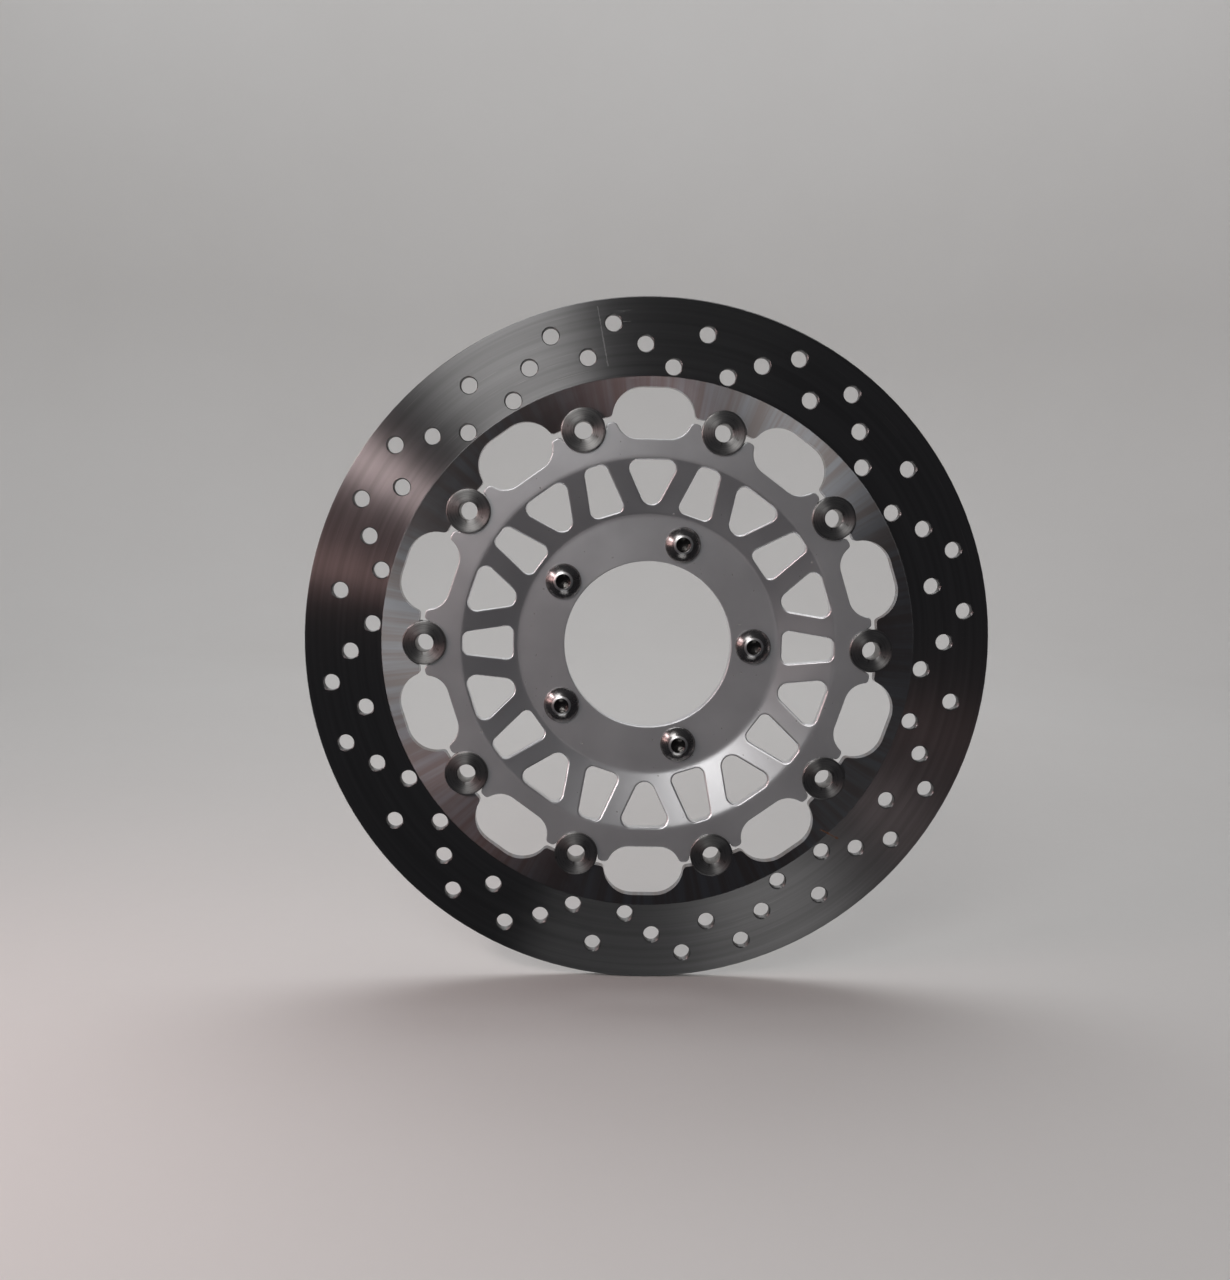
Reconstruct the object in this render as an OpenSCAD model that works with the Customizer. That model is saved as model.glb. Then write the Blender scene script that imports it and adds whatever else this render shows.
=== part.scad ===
// Floating brake disc rotor for a motorcycle front wheel: a drilled friction ring, a dished
// carrier with cut-out windows, ten float buttons with their washers and clips, five wheel bolts.
// Spin axis along Y. The outer face looks towards -Y and +Z is up. The origin is on the spin axis
// at the carrier's mounting face. Angles run clockwise as seen from -Y, starting at +X.

/* [Friction ring] */
// outside diameter of the ring (mm)
ring_od = 320; // [280:1:340]
// thickness of the ring where the pads don't run (mm)
ring_thickness = 5; // [4:0.1:6]
// radius where the pad track begins (mm)
track_inner_r = 124.4; // [118:0.1:130]
// how far wear has sunk the pad track on each side (mm)
track_step = 0.15; // [0.05:0.05:0.4]
// inside radius of the lugs that reach in to the buttons (mm)
ring_lug_r = 107.5; // [106:0.1:112]
// chamfer round the ring's outside edges (mm)
ring_edge_chamfer = 0.4; // [0.1:0.1:1]

/* [Drilled holes] */
// diameter of the drilled holes (mm)
drill_d = 7.6; // [5:0.1:9]
// chamfer at both ends of each drilled hole (mm)
drill_chamfer = 0.4; // [0.1:0.1:0.8]
// number of drilled holes round the ring
drill_count = 64; // [40:8:80]
// angle of the first drilled hole (degrees)
drill_first = 3.75; // [0:0.05:5.6]
// radius of the innermost row of holes (mm)
drill_row_1 = 129; // [127:0.5:132]
// radius of the second row of holes (mm)
drill_row_2 = 135.5; // [133:0.5:137]
// radius of the third row of holes (mm)
drill_row_3 = 139; // [137.5:0.5:142]
// radius of the fourth row of holes (mm)
drill_row_4 = 145.5; // [143:0.5:147]
// radius of the outermost row of holes (mm)
drill_row_5 = 149; // [147.5:0.5:153]

/* [Windows between ring and carrier] */
// radius of the large corners of a ring notch (mm)
notch_corner_r = 13.9; // [8:0.1:15]
// half the length of a ring notch's flat outer edge (mm)
notch_flat_half = 5.2; // [3:0.1:8]
// distance of a notch's outer edge from the axis (mm)
notch_outer = 119.6; // [116:0.1:122]
// radius of the large corners of a carrier scallop (mm)
scallop_corner_r = 10.3; // [7:0.1:12]
// half the length of a scallop's flat inner edge (mm)
scallop_flat_half = 7.3; // [4:0.1:9]
// distance of a scallop's inner edge from the axis (mm)
scallop_inner = 96; // [93:0.1:99]
// rounding of the lug and horn corners (mm)
lug_corner_r = 2.1; // [1:0.1:2.4]

/* [Carrier] */
// diameter of the hub bore (mm)
hub_bore_d = 79; // [60:0.5:90]
// thickness of the bolted flange (mm)
flange_thickness = 6; // [4:0.1:8]
// radius where the bolted flange ends in front (mm)
flange_front_r = 61.5; // [58:0.1:66]
// radius where the bolted flange ends behind (mm)
flange_back_r = 59.5; // [57:0.1:64]
// radius where the flat outer band begins in front (mm)
band_front_r = 87.5; // [84:0.1:90]
// radius where the flat outer band begins behind (mm)
band_back_r = 86; // [83:0.1:90]
// thickness of the carrier's outer band (mm)
band_thickness = 5.3; // [4:0.1:7]
// outside radius of the carrier's horns (mm)
carrier_r = 105; // [103:0.1:106]
// how far the bolted flange's face lies behind the ring's face (mm)
dish_depth = 8; // [2:0.1:14]
// radius of the soft bend between flange, truss and band (mm)
bend_r = 8; // [2:0.5:12]
// chamfer at the hub bore's outer edge (mm)
bore_chamfer = 0.5; // [0.2:0.1:1]

/* [Truss windows] */
// distance of the wide windows' outer edge from the axis (mm)
tri_outer = 86.6; // [84:0.1:87.4]
// distance from the axis at which a wide window's sides would meet (mm)
tri_apex = 59.8; // [55:0.1:64]
// half the width of a wide window's outer edge before rounding (mm)
tri_half = 13.13; // [10:0.1:15]
// rounding of a wide window's two outer corners (mm)
tri_outer_round = 4; // [1:0.1:5]
// rounding of a wide window's inner corner (mm)
tri_inner_round = 5; // [1:0.1:6]
// distance of the narrow windows' outer edge from the axis (mm)
slot_outer = 86.9; // [84:0.1:87.4]
// distance of the narrow windows' inner edge from the axis (mm)
slot_inner = 63.8; // [62:0.1:68]
// half the width of a narrow window's outer edge before rounding (mm)
slot_outer_half = 5.05; // [3:0.1:7]
// half the width of a narrow window's inner edge before rounding (mm)
slot_inner_half = 8.25; // [5:0.1:10]
// rounding of a narrow window's corners (mm)
slot_round = 3.2; // [1:0.1:4]

/* [Float buttons] */
// number of float buttons
button_count = 10; // [6:1:12]
// radius of the circle of buttons (mm)
button_circle_r = 104.4; // [100:0.1:108]
// diameter of a button's head (mm)
head_d = 20.4; // [18:0.1:22]
// height of a button's head above the carrier (mm)
head_height = 1.5; // [1:0.1:3]
// diameter of a button's barrel (mm)
barrel_d = 14; // [11:0.1:15]
// diameter of the hole through a button (mm)
button_hole_d = 8.4; // [6:0.1:10]
// depth of the dished face of a button (mm)
dish_face_depth = 0.3; // [0.1:0.1:2]
// width of the flat rim round a button's dished face (mm)
head_rim = 0.6; // [0.3:0.1:1]
// rounding chamfer of a button's outer edge (mm)
head_chamfer = 0.4; // [0.1:0.1:0.6]
// gap between a button's barrel and its seat, on the radius (mm)
seat_gap = 0.06; // [0.02:0.01:0.1]
// gap left under the head and under the washer (mm)
face_gap = 0.03; // [0.02:0.01:0.1]
// length of barrel behind the clip (mm)
barrel_tail = 1.2; // [0.8:0.1:2]

/* [Washers and clips] */
// diameter of the flat washer (mm)
washer_d = 19.8; // [17:0.1:21]
// thickness of the flat washer (mm)
washer_thickness = 0.8; // [0.5:0.1:1.5]
// diameter of the dished spring washer (mm)
spring_d = 19; // [17:0.1:20]
// sheet thickness of the spring washer (mm)
spring_thickness = 0.5; // [0.3:0.1:0.8]
// cone height of the spring washer (mm)
spring_cone = 0.55; // [0.3:0.05:0.8]
// thickness of the retaining clip (mm)
clip_thickness = 1; // [0.8:0.1:1.4]
// outside diameter of the retaining clip's ring (mm)
clip_d = 17.4; // [16:0.1:19]
// depth of the clip's groove in the barrel (mm)
groove_depth = 0.35; // [0.2:0.05:0.6]
// radius of the clip's two eyes (mm)
clip_eye_r = 1.7; // [1.3:0.1:2]
// radius of the hole in each eye (mm)
clip_eye_hole_r = 0.8; // [0.5:0.1:1]
// angle from the clip's middle line to each eye (degrees)
clip_eye_angle = 17; // [14:1:25]

/* [Wheel bolts] */
// number of wheel bolts
bolt_count = 5; // [4:1:6]
// diameter of the bolt circle (mm)
bolt_circle_d = 100; // [80:0.5:120]
// diameter of a bolt's head (mm)
bolt_head_d = 16.8; // [14:0.1:18]
// height of a bolt's head if its dome had no socket (mm)
bolt_head_height = 4.6; // [3:0.1:6]
// height of the straight edge of a bolt's head (mm)
bolt_rim_height = 1.1; // [0.5:0.1:2]
// diameter of a bolt's threaded end (mm)
bolt_d = 8; // [6:0.1:10]
// length of a bolt under its head (mm)
bolt_length = 26; // [18:1:35]
// diameter of a bolt's shoulder, which sits in the flange (mm)
shoulder_d = 8.4; // [8:0.1:9]
// diameter of the relief groove between shoulder and thread (mm)
relief_d = 6.8; // [6:0.1:7.5]
// width of the relief groove (mm)
relief_width = 1; // [0.6:0.1:2]
// gap between a bolt's shoulder and its hole, on the radius (mm)
bolt_gap = 0.15; // [0.1:0.05:0.4]
// width across the flats of the hexagon socket (mm)
socket_flats = 5; // [4:0.5:6]
// depth of the hexagon socket (mm)
socket_depth = 2.8; // [2:0.1:3.5]
// radius of the countersink round the socket (mm)
socket_rim_r = 3.3; // [3.1:0.1:5]
// chamfer at the end of a bolt (mm)
bolt_tip_chamfer = 1; // [0.5:0.1:1.5]

/* [Hidden] */
$fn = 96;
cut = 1; // how far a cutting shape runs past the face it cuts
pitch = 360 / button_count;
ring_r = ring_od / 2;
// levels along the axis, measured from the mounting face towards the inside of the wheel
ring_front = -(flange_thickness + dish_depth);
ring_back = ring_front + ring_thickness;
ring_middle = (ring_front + ring_back) / 2;
band_front = ring_middle - band_thickness / 2;
band_back = ring_middle + band_thickness / 2;
head_under = band_front - face_gap;
washer_front = band_back + face_gap;
spring_front = washer_front + washer_thickness;
clip_front = spring_front + spring_cone + spring_thickness;
clip_back = clip_front + clip_thickness;
barrel_end = clip_back + barrel_tail;
barrel_r = barrel_d / 2;
seat_r = barrel_r + seat_gap;
clip_gap = 0.02; // gap round the clip in its groove
groove_r = barrel_r - groove_depth;
thin_bore_r = barrel_r + 0.15; // the washers' bore
horn_inner = head_d / 2 + 0.1; // half the gap between the two horns of a button's seat
clip_turn = 75; // how far each clip's gap is turned from the one before
bolt_turn = 28; // the same for the bolts' sockets
drill_rows = [drill_row_1, drill_row_4, drill_row_1, drill_row_3,
              drill_row_5, drill_row_2, drill_row_5, drill_row_3];
steel = [0.55, 0.54, 0.54];
alloy = [0.74, 0.74, 0.75];
turned = [0.45, 0.44, 0.45];
plated = [0.38, 0.37, 0.36];
spring_steel = [0.25, 0.24, 0.24];

// the names of a sub-part that repeats
function numbered(kind, count) = [for (i = [1:count]) str(kind, "_", i)];
// the sub-part to draw, or all of them

function unit(v) = v / norm(v);
// the angle at corner b of a polygon that runs a, b, c
function corner(a, b, c) = acos(unit(a - b) * unit(c - b));
// the point at distance ra from the axis and rb from c, on the side that s picks
function meet(c, ra, rb, s) =
  let (d = norm(c), a = (ra * ra - rb * rb + d * d) / (2 * d), u = c / d)
  a * u + s * sqrt(ra * ra - a * a) * [-u[1], u[0]];
// a profile's corner at b turned into a run of short steps along an arc of radius r
function bend(a, b, c, r, steps = 4) =
  let (h = corner(a, b, c) / 2, m = b + unit(unit(a - b) + unit(c - b)) * r / sin(h),
       p = b + unit(a - b) * r / tan(h), q = b + unit(c - b) * r / tan(h),
       t = acos(unit(p - m) * unit(q - m)), w = (p - m)[0] * (q - m)[1] - (p - m)[1] * (q - m)[0])
  [for (i = [0:steps]) let (g = (w > 0 ? 1 : -1) * t * i / steps, v = p - m)
    m + [v[0] * cos(g) - v[1] * sin(g), v[0] * sin(g) + v[1] * cos(g)]];

// turns local z into the direction of the inside of the wheel, +Y
module on_axis() { rotate([-90, 0, 0]) children(); }
// repeats a shape that is drawn with its radius along local x
module around(count, first = 0) {
  for (i = [0:count - 1]) rotate([0, 0, first + i * 360 / count]) children();
}
// a solid cut right through the disc
module through() {
  translate([0, 0, ring_front - 2 * cut]) linear_extrude(-ring_front + 4 * cut) children();
}

// a convex polygon with each corner rounded by its own radius
module rounded(pts, radii) {
  n = len(pts);
  polygon([for (i = [0:n - 1], e = [-1, 1])
    let (b = pts[i], a = pts[(i + n - 1) % n], c = pts[(i + 1) % n],
         t = radii[i] / tan(corner(a, b, c) / 2))
    b + unit((e < 0 ? a : c) - b) * t]);
  for (i = [0:n - 1]) {
    b = pts[i];
    a = pts[(i + n - 1) % n];
    c = pts[(i + 1) % n];
    translate(b + unit(unit(a - b) + unit(c - b)) * radii[i] / sin(corner(a, b, c) / 2))
      circle(r = radii[i]);
  }
}

// what is cut off a corner of metal to leave it rounded about p; t1 and t2 are where the arc ends
module corner_cut(p, t1, t2) {
  difference() {
    polygon([p, t1, t1 + t2 - p, t2]);
    translate(p) circle(r = lug_corner_r);
  }
}

// one notch in the ring, with its radius along x
module notch() {
  c = [notch_outer - notch_corner_r, notch_flat_half];
  reach = notch_corner_r + lug_corner_r;
  p = meet(c, ring_lug_r + lug_corner_r, reach, 1);
  inner = ring_lug_r - 4 * cut;
  union() {
    translate([inner, -c[1]]) square([notch_outer - inner, 2 * c[1]]);
    translate([inner, -c[1] - notch_corner_r])
      square([c[0] - inner, 2 * (c[1] + notch_corner_r)]);
    for (s = [-1, 1]) translate([c[0], s * c[1]]) circle(r = notch_corner_r);
    for (s = [0, 1]) mirror([0, s])
      corner_cut(p, c + (p - c) * notch_corner_r / reach,
        p * ring_lug_r / (ring_lug_r + lug_corner_r));
  }
}

// one scallop in the carrier's edge, with its radius along x
module scallop() {
  c = [scallop_inner + scallop_corner_r, scallop_flat_half];
  reach = scallop_corner_r + lug_corner_r;
  p = meet(c, carrier_r - lug_corner_r, reach, 1);
  outer = carrier_r + 4 * cut;
  union() {
    translate([scallop_inner, -c[1]]) square([outer - scallop_inner, 2 * c[1]]);
    for (s = [-1, 1]) translate([c[0], s * c[1]]) circle(r = scallop_corner_r);
    for (s = [0, 1]) mirror([0, s])
      corner_cut(p, c + (p - c) * scallop_corner_r / reach,
        p * carrier_r / (carrier_r - lug_corner_r));
  }
}

// the opening between two horns, where the ring's lug meets the button
module horn_gap() {
  side = horn_inner + lug_corner_r;
  shelf = sqrt(pow(carrier_r - lug_corner_r, 2) - side * side);
  p = [shelf, side];
  translate([shelf, -horn_inner]) square([carrier_r - shelf + 4 * cut, 2 * horn_inner]);
  for (s = [0, 1]) mirror([0, s])
    corner_cut(p, [shelf, horn_inner], p * carrier_r / (carrier_r - lug_corner_r));
}

// the two kinds of window in the dished truss
module wide_window() {
  rounded([[tri_outer, -tri_half], [tri_outer, tri_half], [tri_apex, 0]],
    [tri_outer_round, tri_outer_round, tri_inner_round]);
}
module narrow_window() {
  rounded([[slot_outer, -slot_outer_half], [slot_outer, slot_outer_half],
           [slot_inner, slot_inner_half], [slot_inner, -slot_inner_half]],
    [slot_round, slot_round, slot_round, slot_round]);
}

// one chamfered drilled hole through the pad track
module drilled() {
  r = drill_d / 2;
  z0 = ring_front + track_step;
  z1 = ring_back - track_step;
  flare = drill_chamfer + cut;
  translate([0, 0, z0 - cut]) cylinder(h = z1 - z0 + 2 * cut, r = r);
  translate([0, 0, z0 - cut]) cylinder(h = flare, r1 = r + flare, r2 = r);
  translate([0, 0, z1 - drill_chamfer]) cylinder(h = flare, r1 = r, r2 = r + flare);
}

module friction_ring() {
  e = ring_edge_chamfer;
  t0 = ring_front + track_step;
  t1 = ring_back - track_step;
  color(steel) on_axis() difference() {
    rotate_extrude() polygon([[ring_lug_r, ring_front], [track_inner_r, ring_front],
      [track_inner_r, t0], [ring_r - e, t0], [ring_r, t0 + e], [ring_r, t1 - e],
      [ring_r - e, t1], [track_inner_r, t1], [track_inner_r, ring_back], [ring_lug_r, ring_back]]);
    through() around(button_count, pitch / 2) notch();
    around(button_count) translate([button_circle_r, 0, ring_front - cut])
      cylinder(h = ring_thickness + 2 * cut, r = seat_r);
    for (i = [0:drill_count - 1]) rotate([0, 0, drill_first + i * 360 / drill_count])
      translate([drill_rows[i % len(drill_rows)], 0, 0]) drilled();
  }
}

module carrier() {
  bore_r = hub_bore_d / 2;
  front = -flange_thickness;
  a = [bore_r + bore_chamfer, front];
  b = [flange_front_r, front];
  c = [band_front_r, band_front];
  d = [carrier_r, band_front];
  e = [carrier_r, band_back];
  f = [band_back_r, band_back];
  g = [flange_back_r, 0];
  h = [bore_r, 0];
  color(alloy) on_axis() difference() {
    rotate_extrude() polygon(concat([h, [bore_r, front + bore_chamfer], a],
      bend(a, b, c, bend_r), bend(b, c, d, bend_r), [d, e],
      bend(e, f, g, bend_r), bend(f, g, h, bend_r)));
    through() around(button_count, pitch / 2) scallop();
    through() around(button_count, pitch / 2) wide_window();
    through() around(button_count) narrow_window();
    through() around(button_count) horn_gap();
    around(button_count) translate([button_circle_r, 0, band_front - cut])
      cylinder(h = band_thickness + 2 * cut, r = seat_r);
    around(bolt_count) translate([bolt_circle_d / 2, 0, front - cut])
      cylinder(h = flange_thickness + 2 * cut, r = shoulder_d / 2 + bolt_gap);
  }
}

// a button and the pieces behind it, each drawn about its own axis
module button() {
  head_r = head_d / 2;
  hole_r = button_hole_d / 2;
  top = band_front - head_height;
  rim_r = head_r - head_chamfer;
  edge = 0.3; // chamfer at the barrel's back end and at both ends of the hole
  color(turned) rotate_extrude() polygon([[hole_r, top + dish_face_depth + edge],
    [hole_r + edge, top + dish_face_depth], [rim_r - head_rim, top], [rim_r, top],
    [head_r, top + head_chamfer], [head_r, head_under], [barrel_r, head_under],
    [barrel_r, clip_front - clip_gap], [groove_r, clip_front - clip_gap],
    [groove_r, clip_back + clip_gap], [barrel_r, clip_back + clip_gap],
    [barrel_r, barrel_end - edge], [barrel_r - edge, barrel_end],
    [hole_r + edge, barrel_end], [hole_r, barrel_end - edge]]);
}
module flat_washer() {
  color(steel) translate([0, 0, washer_front]) difference() {
    cylinder(h = washer_thickness, d = washer_d);
    translate([0, 0, -cut]) cylinder(h = washer_thickness + 2 * cut, r = thin_bore_r);
  }
}
module spring_washer() {
  outer = spring_d / 2;
  tip = spring_front + spring_cone; // front of the cone's narrow end
  color(spring_steel) rotate_extrude() polygon([[thin_bore_r, tip], [outer, spring_front],
    [outer, spring_front + spring_thickness], [thin_bore_r, tip + spring_thickness]]);
}
module clip() {
  outer = clip_d / 2;
  eye = outer - 0.1; // distance of an eye's centre from the button's axis
  half_gap = clip_eye_angle / 2;
  color(spring_steel) translate([0, 0, clip_front]) linear_extrude(clip_thickness) difference() {
    union() {
      circle(r = outer);
      for (s = [-1, 1]) rotate(s * clip_eye_angle) translate([eye, 0]) circle(r = clip_eye_r);
    }
    circle(r = groove_r + clip_gap);
    polygon([[0, 0], for (s = [-1, 1]) clip_d * [cos(half_gap), s * sin(half_gap)]]);
    for (s = [-1, 1]) rotate(s * clip_eye_angle) translate([eye, 0]) circle(r = clip_eye_hole_r);
  }
}
// puts a piece at the button with this number; turn sets how it lies about its own axis
module at_button(i, turn = 0) {
  on_axis() rotate([0, 0, (i - 1) * pitch]) translate([button_circle_r, 0, 0])
    rotate([0, 0, turn]) children();
}

// a wheel bolt with its shank along z and the underside of its head at z = 0
module wheel_bolt() {
  head_r = bolt_head_d / 2;
  r = bolt_d / 2;
  over = bolt_head_height - bolt_rim_height;
  dome_r = (head_r * head_r + over * over) / (2 * over);
  drop = dome_r - sqrt(dome_r * dome_r - socket_rim_r * socket_rim_r); // dome's fall at the rim
  top = drop - bolt_head_height;
  flare = 0.5; // depth of the countersink round the socket
  shoulder_end = flange_thickness - 0.6 * relief_width;
  thread_start = shoulder_end + relief_width;
  color(plated) difference() {
    union() {
      intersection() {
        translate([0, 0, -bolt_head_height]) cylinder(h = bolt_head_height, r = head_r);
        translate([0, 0, dome_r - bolt_head_height]) sphere(r = dome_r);
      }
      cylinder(h = shoulder_end, d = shoulder_d);
      cylinder(h = thread_start, d = relief_d);
      translate([0, 0, thread_start])
        cylinder(h = bolt_length - bolt_tip_chamfer - thread_start, r = r);
      translate([0, 0, bolt_length - bolt_tip_chamfer])
        cylinder(h = bolt_tip_chamfer, r1 = r, r2 = r - bolt_tip_chamfer);
    }
    translate([0, 0, top - drop - cut]) cylinder(h = drop + cut, r = socket_rim_r);
    translate([0, 0, top]) cylinder(h = flare, r1 = socket_rim_r - flare, r2 = socket_flats / 2);
    translate([0, 0, top - cut])
      cylinder(h = cut + socket_depth, r = socket_flats / 2 / cos(30), $fn = 6);
  }
}
// puts a piece at the wheel bolt with this number, turned as far as its tightening left it
module at_bolt(i, turn) {
  on_axis() rotate([0, 0, (i - 1) * 360 / bolt_count])
    translate([bolt_circle_d / 2, 0, -flange_thickness]) rotate([0, 0, turn]) children();
}

friction_ring();
carrier();
for (i = [1:button_count]) {
  at_button(i) button();
  at_button(i) flat_washer();
  at_button(i) spring_washer();
  at_button(i, i * clip_turn) clip();
}
for (i = [1:bolt_count]) {
  at_bolt(i, i * bolt_turn) wheel_bolt();
}
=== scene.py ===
"""The looks of a floating brake disc rotor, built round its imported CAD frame.

Metres; the spin axis is Y, the outer face looks towards -Y and +Z is up.
"""

import math

import bmesh
import bpy
import numpy as np
from mathutils import Matrix, Vector
from mathutils.geometry import delaunay_2d_cdt


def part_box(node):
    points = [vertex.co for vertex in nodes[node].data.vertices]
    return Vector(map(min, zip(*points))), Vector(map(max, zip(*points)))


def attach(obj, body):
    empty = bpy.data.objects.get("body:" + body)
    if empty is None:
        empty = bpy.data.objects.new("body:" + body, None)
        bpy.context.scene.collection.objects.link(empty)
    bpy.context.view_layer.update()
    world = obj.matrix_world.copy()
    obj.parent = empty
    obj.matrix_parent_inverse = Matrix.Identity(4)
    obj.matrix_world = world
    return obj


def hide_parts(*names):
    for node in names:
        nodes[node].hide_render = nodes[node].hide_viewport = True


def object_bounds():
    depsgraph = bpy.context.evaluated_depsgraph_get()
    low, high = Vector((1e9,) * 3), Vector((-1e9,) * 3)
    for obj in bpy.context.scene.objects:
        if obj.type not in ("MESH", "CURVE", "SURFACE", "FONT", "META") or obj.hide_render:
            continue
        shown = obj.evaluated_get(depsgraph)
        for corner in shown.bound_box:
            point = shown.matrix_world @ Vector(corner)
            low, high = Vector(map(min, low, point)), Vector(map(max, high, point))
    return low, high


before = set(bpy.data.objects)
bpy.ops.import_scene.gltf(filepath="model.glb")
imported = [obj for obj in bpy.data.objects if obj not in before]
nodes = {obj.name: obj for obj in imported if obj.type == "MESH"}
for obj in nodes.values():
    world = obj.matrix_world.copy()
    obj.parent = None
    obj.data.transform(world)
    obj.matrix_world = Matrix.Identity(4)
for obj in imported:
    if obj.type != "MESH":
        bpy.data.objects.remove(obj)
cad_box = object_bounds()

MM = 0.001
TRACK_R = 0.1244  # where the swept pad track begins
FRONT_Y = -0.012  # between the friction ring's front face and its middle


# ---------------------------------------------------------------- node trees


class Tree:
    """Builds a node tree; node returns the node, and the others return its output socket."""

    def __init__(self, owner):
        owner.use_nodes = True
        self.tree = owner.node_tree
        self.tree.nodes.clear()

    def node(self, kind, inputs=None, **settings):
        made = self.tree.nodes.new(kind)
        for name, value in settings.items():
            setattr(made, name, value)
        for key, value in (inputs or {}).items():
            self.put(made.inputs[key], value)
        return made

    def put(self, socket, value):
        if isinstance(value, bpy.types.NodeSocket):
            self.tree.links.new(value, socket)
        else:
            socket.default_value = value

    def math(self, operation, a, b=0.0):
        return self.node("ShaderNodeMath", {0: a, 1: b}, operation=operation).outputs[0]

    def times(self, a, b):
        return self.math("MULTIPLY", a, b)

    def plus(self, a, b):
        return self.math("ADD", a, b)

    def minus(self, a, b):
        return self.math("SUBTRACT", a, b)

    def vector(self, x, y, z):
        return self.node("ShaderNodeCombineXYZ", {0: x, 1: y, 2: z}).outputs[0]

    def span(self, value, low, high, start=0.0, end=1.0):
        """start below low, end above high, and a smooth step between them."""
        made = self.node(
            "ShaderNodeMapRange",
            {0: value, 1: low, 2: high, 3: start, 4: end},
            interpolation_type="SMOOTHSTEP",
        )
        return made.outputs[0]

    def noise(self, vector, scale=1.0, detail=2.0, roughness=0.5):
        made = self.node(
            "ShaderNodeTexNoise",
            {"Vector": vector, "Scale": scale, "Detail": detail, "Roughness": roughness},
        )
        return made.outputs[0]

    def mix(self, factor, a, b):
        """The colour a where factor is 0 and b where it is 1."""
        made = self.node("ShaderNodeMix", {0: factor, 6: a, 7: b}, data_type="RGBA")
        return made.outputs[2]

    def bump(self, height, distance, strength):
        inputs = {"Height": height, "Distance": distance, "Strength": strength}
        return self.node("ShaderNodeBump", inputs).outputs[0]

    def surface(self, shader):
        self.node("ShaderNodeOutputMaterial", {"Surface": shader})


def rgb(red, green, blue):
    return (red, green, blue, 1.0)


def material(name):
    made = bpy.data.materials.new(name)
    return made, Tree(made)


def place(tree):
    """Object coordinates as (whole vector, radius from the axis, cos and sin of the angle, y)."""
    whole = tree.node("ShaderNodeTexCoord").outputs["Object"]
    x, y, z = tree.node("ShaderNodeSeparateXYZ", {0: whole}).outputs
    flat = tree.vector(x, 0.0, z)
    radius = tree.node("ShaderNodeVectorMath", {0: flat}, operation="LENGTH").outputs["Value"]
    return whole, radius, tree.math("DIVIDE", x, radius), tree.math("DIVIDE", z, radius), y


def own_place(tree):
    """For a small round piece: its radius about its own axis (0.5 at its rim), cos and sin."""
    whole = tree.node("ShaderNodeTexCoord").outputs["Generated"]
    x, _, z = tree.node("ShaderNodeSeparateXYZ", {0: whole}).outputs
    x = tree.minus(x, 0.5)
    z = tree.minus(z, 0.5)
    flat = tree.vector(x, 0.0, z)
    radius = tree.node("ShaderNodeVectorMath", {0: flat}, operation="LENGTH").outputs["Value"]
    safe = tree.math("MAXIMUM", radius, 0.01)  # the cos and sin stay finite on the axis
    return radius, tree.math("DIVIDE", x, safe), tree.math("DIVIDE", z, safe)


def radial_tangent(tree):
    return tree.node("ShaderNodeTangent", direction_type="RADIAL", axis="Y").outputs[0]


def polar(tree, radius, cos, sin, along_radius, round_axis):
    """A vector for noise that changes along_radius times a unit outwards and round_axis round."""
    return tree.vector(tree.times(radius, along_radius),
                       tree.times(cos, round_axis), tree.times(sin, round_axis))


def near_line(tree, whole, start, end, width):
    """1 on a thin line from start to end, (x, z) in metres, fading to 0 at its sides."""
    x, _, z = tree.node("ShaderNodeSeparateXYZ", {0: whole}).outputs
    run = Vector(end) - Vector(start)
    along_x, along_z = run.normalized()
    dx, dz = tree.minus(x, start[0]), tree.minus(z, start[1])
    along = tree.plus(tree.times(dx, along_x), tree.times(dz, along_z))
    aside = tree.math("ABSOLUTE", tree.minus(tree.times(dx, along_z), tree.times(dz, along_x)))
    wander = tree.times(tree.minus(tree.noise(whole, 900.0), 0.5), width * 3)
    aside = tree.math("ABSOLUTE", tree.plus(aside, wander))
    begun = tree.span(along, 0.0, width * 2)
    ended = tree.span(along, run.length, run.length + width * 2, 1.0, 0.0)
    return tree.times(tree.times(begun, ended), tree.span(aside, width * 0.4, width, 1.0, 0.0))


WHITE_MARK = ((-0.0215, 0.128), (-0.0268, 0.1545), 0.0003)  # a scratch: start, end, width
RUST_MARK = ((0.0835, -0.0860), (0.0925, -0.0905), 0.0005)


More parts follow.
